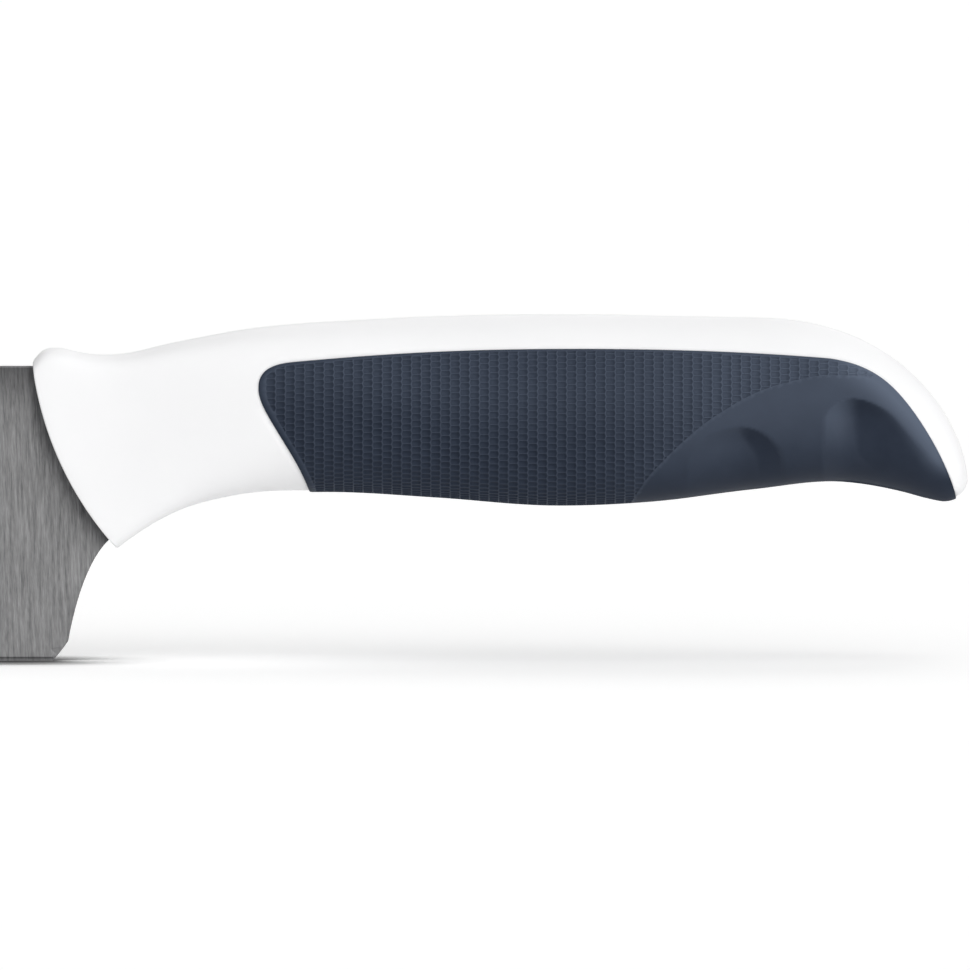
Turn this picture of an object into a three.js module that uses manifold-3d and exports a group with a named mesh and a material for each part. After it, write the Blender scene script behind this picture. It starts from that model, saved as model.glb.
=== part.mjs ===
// A carving knife: a flat-ground steel blade with a hidden tang, a hard white handle moulded round
// that tang, and a soft dark grip moulded over the cheeks and belly of the handle.
//
// Millimetres, +Z up, cutting edge down on Z = 0. The blade points along -X and Y is the thickness.
// Everything is drawn from the place where the spine enters the handle (x = 0), and the finished
// knife is then moved along X so that the origin lies under its middle.

import * as THREE from "three";
import { mergeVertices } from "three/addons/utils/BufferGeometryUtils.js";
import Module from "manifold-3d";

// Blade
const BLADE_LENGTH = 205; // tip to handle, along the spine
const BLADE_HEIGHT = 41.2; // spine above the straight part of the edge
const SPINE_THICKNESS = 2;
const BEVEL_HEIGHT = 0.8; // the sharpened strip along the edge
const BEVEL_THICKNESS = 0.4; // where that strip meets the flank
const TIP_HEIGHT = 16; // tip above the straight part of the edge
const EDGE_CURVE_LENGTH = 125; // part of the edge that sweeps up to the tip
const SPINE_CURVE_LENGTH = 135; // part of the spine that drops to the tip
const HEEL_SETBACK = 4.4; // upright back of the heel, behind the spine's entry into the handle
const HEEL_CORNER_LENGTH = 2.4; // rounded corner between heel and edge, along the edge
const HEEL_CORNER_HEIGHT = 3; // and up the heel
const STOCK_THICKNESS = 2.2; // unground steel, left full inside the handle
const PLUNGE_RADIUS = 9; // hollow in which the grind runs out, just ahead of the handle

// Tang, hidden in the handle and centred on its middle line
const TANG_HEIGHT = 10.5;
const TANG_CORNER = 3;
const TANG_INSET = 45; // rear end of the handle to the end of the tang
const SHOULDER_DEPTH = 19; // how far the full blade reaches into the handle
const HOLE_DIAMETER = 5.6; // keying holes that lock the handle to the tang
const HOLE_COUNT = 3; // spaced evenly along the tang
const HOLE_INSET = 10; // either end of the tang to the centre of the nearest hole

// Handle
const HANDLE_LENGTH = 130;
const HANDLE_HEIGHT = 26.6; // at the palm swell
const HANDLE_WIDTH = 22.2; // at the palm swell
const SPINE_COVER = 1.5; // hard plastic over the spine where the back dips
const FRONT_LEAD = 0.45; // the top of the handle's front, ahead of the spine's entry
const FRONT_RAKE = 11.4; // the lower corner of that leaning front, behind the spine's entry
const FRONT_BULGE = 2.2; // how far the front bows towards the blade
const BUTT_LENGTH = 30; // rounded rear end of the back
const BEAK_RADIUS = 2.3; // small round under the rear tip

// Soft grip
const GRIP_WALL = 2.6;
const GRIP_PROUD = 0.25; // how far the grip stands above the hard handle
const MOULD_GAP = 0.3; // room kept between one moulded piece and the next
const CORE_END_INSET = 1; // the core under the grip runs on into the butt, to this far from its end
const FRONT_SCOOP_LENGTH = 9.6;
const FRONT_SCOOP_HEIGHT = 13.2;
const FRONT_SCOOP_DEPTH = 1.2;
const REAR_SCOOP_LENGTH = 12.8;
const REAR_SCOOP_HEIGHT = 16.4;
const REAR_SCOOP_DEPTH = 1.7;

// Lines of the handle, from a little ahead of its front to its rear end. Each point is a share of the
// handle's length and then, for the back and the belly, a share of its height above the middle line.
const DIP_SHARE = [0.08, 0.285];
const BACK_SHARES = [
  [-0.05, -0.05],
  [-0.003, 0.262],
  [0.01, 0.317],
  [0.025, 0.335],
  [0.05, 0.305],
  DIP_SHARE,
  [0.154, 0.364],
  [0.22, 0.416],
  [0.346, 0.47],
  [0.48, 0.497],
  [0.577, 0.5],
  [0.73, 0.488],
  [0.87, 0.473],
  [1, 0.45],
];
const BELLY_SHARES = [
  [-0.05, -1.55],
  [0.088, -0.733],
  [0.146, -0.545],
  [0.215, -0.448],
  [0.308, -0.424],
  [0.431, -0.453],
  [0.554, -0.49],
  [0.66, -0.468],
  [0.769, -0.405],
  [0.862, -0.366],
  [0.931, -0.42],
  [1, -0.478],
];
// Half the width at each place, as a share of half the width at the palm swell.
const WIDTH_SHARES = [
  [-0.05, 0.6],
  [0.09, 0.62],
  [0.2, 0.75],
  [0.31, 0.89],
  [0.44, 0.98],
  [0.55, 1],
  [0.7, 0.955],
  [0.81, 0.9],
  [1, 0.84],
];
// Where each section is widest, as a share of its own height from the belly.
const WIDEST_SHARES = [
  [-0.05, 0.84],
  [0.088, 0.65],
  [0.146, 0.52],
  [0.215, 0.43],
  [0.346, 0.35],
  [0.554, 0.32],
  [0.77, 0.32],
  [0.931, 0.38],
  [1, 0.5],
];
// Fullness of each section above and below its widest place: 2 is an ellipse, more is squarer.
const UPPER_EXPONENTS = [
  [-0.05, 3.2],
  [0.1, 2.8],
  [0.35, 2],
  [0.55, 1.8],
  [0.8, 1.85],
  [1, 2],
];
const LOWER_EXPONENTS = [
  [-0.05, 3],
  [0.1, 2.7],
  [0.25, 2.4],
  [0.55, 2.5],
  [1, 2.2],
];
// The rear end rounds over like a superellipse: how late it turns, then how steeply it ends.
const BEAK_LEVEL = -0.368; // the rearmost point, as a share of the height above the middle line
const BUTT_TURN = 2.4;
const BUTT_FALL = 0.59;
const PLAN_TURN = 3;
const PLAN_FALL = 0.42;

// The grip's edge seen from the side, in the same shares: a start, then two handles and an end a curve.
const GRIP_FRONT_SHARE = [0.2955, -0.478];
const GRIP_EDGE_SHARES = [
  [0.291, -0.334, 0.269, -0.184, 0.2546, -0.064],
  [0.243, 0.03, 0.2385, 0.079, 0.2392, 0.135],
  [0.24, 0.218, 0.253, 0.252, 0.277, 0.263],
  [0.354, 0.297, 0.438, 0.329, 0.569, 0.329],
  [0.708, 0.329, 0.8, 0.301, 0.8508, 0.278],
  [0.8985, 0.244, 0.92, 0.139, 0.9415, -0.004],
  [0.9646, -0.162, 0.9815, -0.335, 0.9877, -0.462],
];
const BELOW_BELLY = -0.62; // the level at which that outline is closed, clear of the belly

// Finger scoops in the rear of both cheeks: centre in the same shares, size, and lean in degrees.
const SCOOPS = [
  {
    centre: [0.772, -0.29],
    length: FRONT_SCOOP_LENGTH,
    height: FRONT_SCOOP_HEIGHT,
    depth: FRONT_SCOOP_DEPTH,
    lean: 8,
  },
  {
    centre: [0.9, -0.24],
    length: REAR_SCOOP_LENGTH,
    height: REAR_SCOOP_HEIGHT,
    depth: REAR_SCOOP_DEPTH,
    lean: 24,
  },
];
const SCOOP_ROUNDING = 1.3; // how softly a scoop runs out at its rim

// Curves of the blade
const EDGE_SWEEP = 2.3; // how late the edge sweeps up
const SPINE_SWEEP = 2.2; // how late the spine drops
const HEEL_BEND = 0.5; // how full the heel's corner is: 0 is cut straight across, 1 is rounded
const HEEL_JOIN = 0.945; // where the heel leaves the handle's front, as a share from its top
const HEEL_LEAN = 57; // slope of the heel there, in degrees
const HEEL_EASE = 0.32; // how long the heel stays straight at its two ends, as a share of its height

// Facets
const AROUND = 32;
const LENGTH_STEPS = 42;
const BUTT_STEPS = 13;
const BLADE_STEPS = 24;
const TIP_CROWDING = 1.5;
const CURVE_STEPS = 8;
const PLUNGE_STEPS = 4;
const HOLE_SIDES = 24;

const AXIS_LEVEL = BLADE_HEIGHT + SPINE_COVER - DIP_SHARE[1] * HANDLE_HEIGHT;
const FLANK_TAPER = (SPINE_THICKNESS - BEVEL_THICKNESS) / (BLADE_HEIGHT - BEVEL_HEIGHT);
const TANG_END = HANDLE_LENGTH - TANG_INSET;
const TANG_TOP = AXIS_LEVEL + TANG_HEIGHT / 2;
const TANG_BOTTOM = AXIS_LEVEL - TANG_HEIGHT / 2;
const RIGHT_THROUGH = 2 * HANDLE_WIDTH; // long enough to cut across the whole handle
const FUSION = BEVEL_THICKNESS / 8; // how far one shape reaches into the shape it is joined to

const wasm = await Module();
wasm.setup();

// Shared helpers

const clampShare = (value) => THREE.MathUtils.clamp(value, 0, 1);

// A place in the knife's side view, [x, z], from shares of the handle's length and height.
function at(along, level) {
  return new THREE.Vector2(along * HANDLE_LENGTH, AXIS_LEVEL + level * HANDLE_HEIGHT);
}

// A smooth function through points of [place, value].
function through(points) {
  const last = points.length - 1;
  const slope = (i) => (points[i + 1][1] - points[i][1]) / (points[i + 1][0] - points[i][0]);
  const tangents = points.map((point, i) => {
    if (i === 0) return slope(0);
    if (i === last) return slope(last - 1);
    const before = point[0] - points[i - 1][0];
    const after = points[i + 1][0] - point[0];
    return (slope(i - 1) * after + slope(i) * before) / (before + after);
  });
  return (place) => {
    const next = points.findIndex((point) => point[0] > place);
    const i = next < 0 ? last - 1 : Math.max(next - 1, 0);
    const [from, low] = points[i];
    const [to, high] = points[i + 1];
    const t = (place - from) / (to - from);
    const rise = t * t * (3 - 2 * t) * (high - low);
    const ease = t * (1 - t) * ((1 - t) * tangents[i] - t * tangents[i + 1]);
    return low + rise + ease * (to - from);
  };
}

// A closed geometry as a solid that can be cut and joined.
function solidOf(geometry) {
  const bare = geometry.clone();
  bare.deleteAttribute("normal");
  bare.deleteAttribute("uv");
  const merged = mergeVertices(bare);
  const mesh = new wasm.Mesh({
    numProp: 3,
    vertProperties: merged.attributes.position.array,
    triVerts: new Uint32Array(merged.index.array),
  });
  return new wasm.Manifold(mesh);
}

// A finished solid as a named mesh.
function meshOf(name, solid, material) {
  const { vertProperties, triVerts } = solid.getMesh();
  const geometry = new THREE.BufferGeometry();
  geometry.setAttribute("position", new THREE.BufferAttribute(vertProperties, 3));
  geometry.setIndex(new THREE.BufferAttribute(triVerts, 1));
  geometry.computeVertexNormals();
  const mesh = new THREE.Mesh(geometry, material);
  mesh.name = name;
  return mesh;
}

// A skin over rings of points that follow each other along +X, closed by a point at each end.
function loft(rings, startPoint, endPoint) {
  const count = rings[0].length;
  const points = [...rings.flat(), startPoint, endPoint];
  const start = points.length - 2;
  const end = points.length - 1;
  const lastRing = (rings.length - 1) * count;
  const index = [];
  for (let j = 0; j < count; j += 1) {
    const k = (j + 1) % count;
    index.push(start, k, j);
    index.push(end, lastRing + j, lastRing + k);
    for (let ring = 0; ring < lastRing; ring += count) {
      index.push(ring + j, ring + k, ring + count + j);
      index.push(ring + k, ring + count + k, ring + count + j);
    }
  }
  return solidOf(new THREE.BufferGeometry().setFromPoints(points).setIndex(index));
}

// A side outline of [x, z] points, extruded equally to both sides of the knife's middle plane.
function prism(outline, thickness) {
  const geometry = new THREE.ExtrudeGeometry(new THREE.Shape(outline), {
    depth: thickness,
    bevelEnabled: false,
  });
  geometry.rotateX(Math.PI / 2);
  geometry.translate(0, thickness / 2, 0);
  return solidOf(geometry);
}

// A closed counterclockwise outline moved outwards by a small distance.
function grown(outline, distance) {
  const outwards = (from, to) => new THREE.Vector2(to.y - from.y, from.x - to.x).normalize();
  return outline.map((point, i) => {
    const before = outwards(outline.at(i - 1), point);
    const after = outwards(point, outline[(i + 1) % outline.length]);
    const mitre = before.clone().add(after).normalize();
    return point.clone().addScaledVector(mitre, distance / mitre.dot(before));
  });
}

// Handle surface

const backLine = through(BACK_SHARES);
const bellyLine = through(BELLY_SHARES);
const widthLine = through(WIDTH_SHARES);
const widestLine = through(WIDEST_SHARES);
const upperFullness = through(UPPER_EXPONENTS);
const lowerFullness = through(LOWER_EXPONENTS);
const BLANK_START = BACK_SHARES[0][0] * HANDLE_LENGTH;
const BEAK = at(1, BEAK_LEVEL);

// The section of the handle at x, with its skin moved inwards by an inset, and its end by another.
function sectionAt(x, inset, endInset) {
  const along = x / HANDLE_LENGTH;
  const end = HANDLE_LENGTH - endInset;
  const butt = clampShare((x - end + BUTT_LENGTH) / BUTT_LENGTH);
  const beak = clampShare((x - end + BEAK_RADIUS) / BEAK_RADIUS);
  const backHeight = at(along, backLine(along)).y - inset - BEAK.y;
  const bellyDepth = BEAK.y - at(along, bellyLine(along)).y - inset;
  const top = BEAK.y + backHeight * (1 - butt ** BUTT_TURN) ** BUTT_FALL;
  const bottom = BEAK.y - bellyDepth * Math.sqrt(1 - beak ** 2);
  const plan = (1 - butt ** PLAN_TURN) ** PLAN_FALL;
  return {
    top,
    bottom,
    widest: bottom + widestLine(along) * (top - bottom),
    half: ((widthLine(along) * HANDLE_WIDTH) / 2 - inset) * plan,
    upper: upperFullness(along),
    lower: lowerFullness(along),
  };
}

// How far the finger scoops sink into the cheek at a place in the side view.
function scoopDepth(place) {
  const depths = SCOOPS.map(({ centre, length, height, depth, lean }) => {
    const offset = place.clone().sub(at(...centre));
    offset.rotateAround(new THREE.Vector2(), THREE.MathUtils.degToRad(lean));
    const reach = Math.hypot(offset.x / (length / 2), offset.y / (height / 2));
    return depth * Math.max(0, 1 - reach ** 2) ** SCOOP_ROUNDING;
  });
  return Math.max(...depths);
}

// One ring of points round the handle.
function handleRing(x, inset, endInset, scooped) {
  const { top, bottom, widest, half, upper, lower } = sectionAt(x, inset, endInset);
  const ring = [];
  for (let j = 0; j < AROUND; j += 1) {
    const angle = (2 * Math.PI * j) / AROUND;
    const across = Math.cos(angle);
    const up = Math.sin(angle);
    const power = 2 / (up > 0 ? upper : lower);
    const height = up > 0 ? top - widest : widest - bottom;
    const z = widest + Math.sign(up) * Math.abs(up) ** power * height;
    const skin = half * Math.abs(across) ** power;
    const sunk = scooped ? Math.min(scoopDepth(new THREE.Vector2(x, z)), skin) : 0;
    ring.push(new THREE.Vector3(x, Math.sign(across) * (skin - sunk), z));
  }
  return ring;
}

// The whole handle as one solid, before its leaning front is cut.
function handleSolid(inset, { endInset = inset, scooped = false } = {}) {
  const end = HANDLE_LENGTH - endInset;
  const buttStart = end - BUTT_LENGTH;
  const places = [];
  for (let i = 0; i < LENGTH_STEPS; i += 1) {
    places.push(THREE.MathUtils.lerp(BLANK_START, buttStart, i / LENGTH_STEPS));
  }
  for (let i = 0; i < BUTT_STEPS; i += 1) {
    places.push(buttStart + BUTT_LENGTH * Math.sin(((i / BUTT_STEPS) * Math.PI) / 2));
  }
  const rings = places.map((x) => handleRing(x, inset, endInset, scooped));
  const startLevel = sectionAt(BLANK_START, inset, endInset).widest;
  const startPoint = new THREE.Vector3(BLANK_START, 0, startLevel);
  return loft(rings, startPoint, new THREE.Vector3(end, 0, BEAK.y));
}

// The leaning front edge of the handle, from its top down to its lower corner.
function frontEdge() {
  const upperPlace = -FRONT_LEAD / HANDLE_LENGTH;
  const top = at(upperPlace, backLine(upperPlace));
  const lowerPlace = FRONT_RAKE / HANDLE_LENGTH;
  const bottom = at(lowerPlace, bellyLine(lowerPlace));
  const chord = bottom.clone().sub(top);
  const towardsBlade = new THREE.Vector2(chord.y, -chord.x).normalize();
  const bow = top.clone().lerp(bottom, 0.5).addScaledVector(towardsBlade, 2 * FRONT_BULGE);
  return new THREE.QuadraticBezierCurve(top, bow, bottom);
}

// Everything ahead of the leaning front, as a cutter.
function frontCutter() {
  const edge = frontEdge();
  const above = edge.getPoint(0).addScaledVector(edge.getTangent(0), -RIGHT_THROUGH);
  const below = edge.getPoint(1).addScaledVector(edge.getTangent(1), RIGHT_THROUGH);
  const ahead = BLANK_START - RIGHT_THROUGH;
  const outline = [
    new THREE.Vector2(ahead, above.y),
    new THREE.Vector2(ahead, below.y),
    below,
    ...edge.getPoints(CURVE_STEPS).reverse(),
    above,
  ];
  return prism(outline, RIGHT_THROUGH);
}

// The side outline that the grip fills, counterclockwise and closed below the belly.
function gripOutline() {
  const start = at(...GRIP_FRONT_SHARE);
  const path = new THREE.Path().moveTo(start.x, start.y);
  GRIP_EDGE_SHARES.forEach(([along1, level1, along2, level2, alongEnd, levelEnd]) => {
    const first = at(along1, level1);
    const second = at(along2, level2);
    const end = at(alongEnd, levelEnd);
    path.bezierCurveTo(first.x, first.y, second.x, second.y, end.x, end.y);
  });
  const edge = path.getPoints(CURVE_STEPS).reverse();
  const rear = new THREE.Vector2(edge.at(0).x, at(0, BELOW_BELLY).y);
  const front = new THREE.Vector2(edge.at(-1).x, at(0, BELOW_BELLY).y);
  return [...edge, front, rear];
}

// Blade

// The section of the blade at x: spine, flanks, sharpened bevel and edge, with its skin grown outwards.
function bladeRing(x, grow) {
  const edgeShare = clampShare((EDGE_CURVE_LENGTH - BLADE_LENGTH - x) / EDGE_CURVE_LENGTH);
  const spineShare = clampShare((SPINE_CURVE_LENGTH - BLADE_LENGTH - x) / SPINE_CURVE_LENGTH);
  const edge = TIP_HEIGHT * edgeShare ** EDGE_SWEEP;
  const spine = BLADE_HEIGHT - (BLADE_HEIGHT - TIP_HEIGHT) * spineShare ** SPINE_SWEEP;
  const bevel = Math.min(BEVEL_HEIGHT, (spine - edge) / 2);
  const thin = (BEVEL_THICKNESS * bevel) / BEVEL_HEIGHT;
  const thick = thin + FLANK_TAPER * (spine - edge - bevel);
  return [
    new THREE.Vector3(x, thick / 2 + grow, spine + grow),
    new THREE.Vector3(x, -thick / 2 - grow, spine + grow),
    new THREE.Vector3(x, -thin / 2 - grow, edge + bevel),
    new THREE.Vector3(x, 0, edge - grow),
    new THREE.Vector3(x, thin / 2 + grow, edge + bevel),
  ];
}

// The ground blade from its tip to its shoulder in the handle, before the heel is cut.
function groundBlade(grow) {
  const straightStart = Math.max(EDGE_CURVE_LENGTH, SPINE_CURVE_LENGTH) - BLADE_LENGTH;
  const shoulder = SHOULDER_DEPTH + grow;
  const places = [];
  for (let i = 1; i <= BLADE_STEPS; i += 1) {
    const share = (i / BLADE_STEPS) ** TIP_CROWDING;
    places.push(THREE.MathUtils.lerp(-BLADE_LENGTH, straightStart, share));
  }
  places.push(shoulder);
  const rings = places.map((x) => bladeRing(x, grow));
  const tip = new THREE.Vector3(-BLADE_LENGTH, 0, TIP_HEIGHT);
  return loft(rings, tip, new THREE.Vector3(shoulder, 0, BLADE_HEIGHT / 2));
}

// The unground shoulder in the handle, with the hollow that leads up to it from the ground flanks.
function shoulderSolid(grow) {
  const edge = frontEdge();
  const rear = SHOULDER_DEPTH + grow;
  const flankAt = (z) => (BEVEL_THICKNESS + FLANK_TAPER * (z - BEVEL_HEIGHT)) / 2;
  const sides = edge.getPoints(CURVE_STEPS).map((point, i) => {
    const tangent = edge.getTangent(i / CURVE_STEPS);
    const run = Math.sqrt(2 * PLUNGE_RADIUS * (STOCK_THICKNESS / 2 - flankAt(point.y)));
    const side = [];
    for (let step = 0; step <= PLUNGE_STEPS; step += 1) {
      const climbed = (run * step) / PLUNGE_STEPS;
      const ahead = run - climbed;
      const x = point.x + tangent.y * ahead;
      const z = point.y - tangent.x * ahead;
      const half = flankAt(z) + climbed ** 2 / (2 * PLUNGE_RADIUS);
      side.push(new THREE.Vector3(x, step === 0 ? half - FUSION : half + grow, z));
    }
    side.push(new THREE.Vector3(rear, STOCK_THICKNESS / 2 + grow, point.y));
    return side;
  });
  const rings = sides[0].map((_, step) => {
    const far = sides.map((side) => side[step]).reverse();
    const near = sides.map((side) => new THREE.Vector3(side[step].x, -side[step].y, side[step].z));
    return [...far, ...near];
  });
  const middle = sides[CURVE_STEPS / 2];
  const startPoint = new THREE.Vector3(middle[0].x, 0, middle[0].z);
  const endPoint = new THREE.Vector3(rear, 0, middle.at(-1).z);
  const underSpine = [
    new THREE.Vector2(-RIGHT_THROUGH, 0),
    new THREE.Vector2(RIGHT_THROUGH, 0),
    new THREE.Vector2(RIGHT_THROUGH, BLADE_HEIGHT + grow),
    new THREE.Vector2(-RIGHT_THROUGH, BLADE_HEIGHT + grow),
  ];
  return loft(rings, startPoint, endPoint).intersect(prism(underSpine, RIGHT_THROUGH));
}

// The space behind the heel and under the tang, counterclockwise.
function heelOutline() {
  const cornerStart = new THREE.Vector2(HEEL_SETBACK - HEEL_CORNER_LENGTH, 0);
  const cornerEnd = new THREE.Vector2(HEEL_SETBACK, HEEL_CORNER_HEIGHT);
  const square = new THREE.Vector2(HEEL_SETBACK, 0);
  const bend = cornerStart.clone().lerp(cornerEnd, 0.5).lerp(square, HEEL_BEND);
  const join = frontEdge().getPoint(HEEL_JOIN);
  const ease = HEEL_EASE * (join.y - HEEL_CORNER_HEIGHT);
  const lean = THREE.MathUtils.degToRad(HEEL_LEAN);
  const leaning = new THREE.Vector2(Math.cos(lean), Math.sin(lean));
  const under = join.clone().addScaledVector(leaning, -ease);
  const over = join.clone().addScaledVector(leaning, ease);
  const path = new THREE.Path().moveTo(cornerStart.x, cornerStart.y);
  path.quadraticCurveTo(bend.x, bend.y, cornerEnd.x, cornerEnd.y);
  path.bezierCurveTo(cornerEnd.x, cornerEnd.y + ease, under.x, under.y, join.x, join.y);
  path.quadraticCurveTo(over.x, over.y, SHOULDER_DEPTH, TANG_BOTTOM);
  const behind = SHOULDER_DEPTH + TANG_HEIGHT;
  return [
    new THREE.Vector2(behind, TANG_BOTTOM),
    ...path.getPoints(CURVE_STEPS).reverse(),
    new THREE.Vector2(cornerStart.x, -HEEL_CORNER_HEIGHT),
    new THREE.Vector2(behind, -HEEL_CORNER_HEIGHT),
  ];
}

// The tang, a flat strip with a rounded end, counterclockwise.
function tangOutline() {
  const start = SHOULDER_DEPTH - TANG_HEIGHT / 2;
  const path = new THREE.Path().moveTo(start, TANG_BOTTOM);
  path.lineTo(TANG_END - TANG_CORNER, TANG_BOTTOM);
  path.quadraticCurveTo(TANG_END, TANG_BOTTOM, TANG_END, TANG_BOTTOM + TANG_CORNER);
  path.lineTo(TANG_END, TANG_TOP - TANG_CORNER);
  path.quadraticCurveTo(TANG_END, TANG_TOP, TANG_END - TANG_CORNER, TANG_TOP);
  path.lineTo(start, TANG_TOP);
  return path.getPoints(CURVE_STEPS);
}

// The blade with its tang and keying holes. Grown, it is the room that the handle keeps for them,
// and its narrower holes leave the posts that lock the handle to the tang.
function bladeSolid(grow = 0) {
  const heel = prism(grown(heelOutline(), -grow), RIGHT_THROUGH);
  const tang = prism(grown(tangOutline(), grow), STOCK_THICKNESS + 2 * grow);
  let solid = groundBlade(grow).add(shoulderSolid(grow)).subtract(heel).add(tang);
  const radius = HOLE_DIAMETER / 2 - grow;
  const firstHole = SHOULDER_DEPTH + HOLE_INSET;
  const lastHole = TANG_END - HOLE_INSET;
  for (let i = HOLE_COUNT - 1; i >= 0; i -= 1) {
    const hole = new THREE.CylinderGeometry(radius, radius, RIGHT_THROUGH, HOLE_SIDES);
    hole.translate(THREE.MathUtils.lerp(firstHole, lastHole, i / (HOLE_COUNT - 1)), 0, AXIS_LEVEL);
    solid = solid.subtract(solidOf(hole));
  }
  return solid;
}

// Handle pieces

// The soft grip: a shell over the handle's core, inside the grip's outline.
function gripSolid() {
  const zone = prism(gripOutline(), RIGHT_THROUGH);
  const skin = handleSolid(-GRIP_PROUD, { scooped: true });
  return skin.intersect(zone).subtract(handleSolid(GRIP_WALL, { endInset: CORE_END_INSET }));
}

// The hard handle: the parts that show, joined by the core under the grip, cut for blade and tang.
function bodySolid() {
  const zone = prism(grown(gripOutline(), MOULD_GAP), RIGHT_THROUGH);
  const shown = handleSolid(0).subtract(zone);
  const core = handleSolid(GRIP_WALL + MOULD_GAP, { endInset: CORE_END_INSET + MOULD_GAP });
  return shown.add(core).subtract(frontCutter()).subtract(bladeSolid(MOULD_GAP));
}

const steel = new THREE.MeshStandardMaterial({ color: 0x8b8b8d, roughness: 0.35, metalness: 1 });
const hardWhite = new THREE.MeshStandardMaterial({ color: 0xf4f4f5, roughness: 0.4, metalness: 0 });
const softDark = new THREE.MeshStandardMaterial({ color: 0x3a4250, roughness: 0.75, metalness: 0 });

const knife = new THREE.Group();
knife.add(meshOf("blade", bladeSolid(), steel));
knife.add(meshOf("handle_body", bodySolid(), hardWhite));
knife.add(meshOf("soft_grip", gripSolid(), softDark));
knife.position.x = (BLADE_LENGTH - HANDLE_LENGTH) / 2;

const model = new THREE.Group();
model.add(knife);

export default model;
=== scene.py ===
import math

import bmesh
import bpy
import numpy as np
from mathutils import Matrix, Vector
from mathutils.geometry import delaunay_2d_cdt


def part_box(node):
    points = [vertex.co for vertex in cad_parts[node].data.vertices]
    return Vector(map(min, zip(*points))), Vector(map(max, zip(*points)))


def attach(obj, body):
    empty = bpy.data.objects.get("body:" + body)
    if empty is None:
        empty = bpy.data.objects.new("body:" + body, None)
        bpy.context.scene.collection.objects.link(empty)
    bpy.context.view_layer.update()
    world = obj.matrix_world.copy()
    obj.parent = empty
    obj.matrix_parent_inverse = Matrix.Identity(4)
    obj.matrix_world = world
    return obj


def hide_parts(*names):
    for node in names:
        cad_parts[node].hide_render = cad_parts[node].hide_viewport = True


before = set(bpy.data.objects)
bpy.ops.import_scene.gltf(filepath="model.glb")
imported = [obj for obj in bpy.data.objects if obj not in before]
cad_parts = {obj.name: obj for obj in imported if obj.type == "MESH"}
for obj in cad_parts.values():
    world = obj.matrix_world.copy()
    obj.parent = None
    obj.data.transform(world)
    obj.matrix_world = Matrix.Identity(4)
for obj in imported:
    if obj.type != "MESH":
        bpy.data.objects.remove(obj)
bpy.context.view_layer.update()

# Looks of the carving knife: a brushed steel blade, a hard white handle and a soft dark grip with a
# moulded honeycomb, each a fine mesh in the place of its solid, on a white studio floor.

# Sizes in millimetres, from the place where the spine enters the handle, close to those of the solids
MM = 0.001
BLADE_LENGTH = 205
BLADE_HEIGHT = 41.2
SPINE_THICKNESS = 2
STOCK_THICKNESS = 2.2
BEVEL_HEIGHT = 0.5
BEVEL_THICKNESS = 0.4
TIP_HEIGHT = 16
EDGE_CURVE_LENGTH = 125
SPINE_CURVE_LENGTH = 135
EDGE_SWEEP = 2.3
SPINE_SWEEP = 2.2
HEEL_SETBACK = 4.5
HEEL_CORNER_LENGTH = 2.2
HEEL_CORNER_HEIGHT = 2.8
HEEL_BEND = 0.08
HEEL_JOIN = 0.945
HEEL_LEAN = math.radians(42)
HEEL_EASE = 0.28
HEEL_FOOT_LEAN = math.radians(80)
HEEL_FOOT_EASE = 0.4
PLUNGE_RADIUS = 9
SHOULDER_DEPTH = 19
TANG_HEIGHT = 10.5
HANDLE_LENGTH = 130
HANDLE_HEIGHT = 26.6
HANDLE_WIDTH = 22.2
SPINE_COVER = 1.5
FRONT_LEAD = 0.45
FRONT_RAKE = 11.4
FRONT_BULGE = 2.2
BUTT_LENGTH = 30
BEAK_RADIUS = 3.8
GRIP_WALL = 2.6
GRIP_PROUD = 0.25
MOULD_GAP = 0.3

# Lines of the handle, as shares of its length and then of its height, its half width, or an exponent
DIP = (0.08, 0.285)
BACK = [(-0.05, -0.05), (-0.003, 0.255), (0.0043, 0.296), (0.0225, 0.321), (0.042, 0.303), (0.06, 0.288),
        DIP, (0.154, 0.355), (0.22, 0.416), (0.346, 0.47), (0.48, 0.497), (0.577, 0.5), (0.73, 0.488),
        (0.87, 0.473), (1, 0.45)]
BELLY = [(-0.05, -1.5), (0.088, -0.724), (0.146, -0.545), (0.215, -0.448), (0.308, -0.424), (0.431, -0.453),
         (0.554, -0.494), (0.66, -0.474), (0.769, -0.41), (0.862, -0.369), (0.931, -0.423), (0.955, -0.455),
         (0.972, -0.4725), (1, -0.48)]
WIDTH = [(-0.05, 0.6), (0.09, 0.62), (0.2, 0.75), (0.31, 0.89), (0.44, 0.98), (0.55, 1), (0.7, 0.955),
         (0.81, 0.9), (1, 0.84)]
WIDEST = [(-0.05, 0.84), (0.088, 0.65), (0.146, 0.52), (0.215, 0.43), (0.346, 0.35), (0.554, 0.32),
          (0.77, 0.32), (0.931, 0.38), (1, 0.5)]
UPPER_EXPONENTS = [(-0.05, 9), (0.03, 8), (0.1, 7), (0.2, 4.6), (0.35, 2.7), (0.55, 2.1), (0.8, 1.9),
                   (1, 2)]
LOWER_EXPONENTS = [(-0.05, 5.5), (0.09, 5), (0.17, 3.4), (0.25, 2.5), (0.55, 2.5), (1, 2.2)]
BEAK_LEVEL = -0.368
# Powers by which the butt rounds off, in the side view and seen from above
BUTT_TURN = 2.4
BUTT_FALL = 0.59
PLAN_TURN = 3
PLAN_FALL = 0.42

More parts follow.
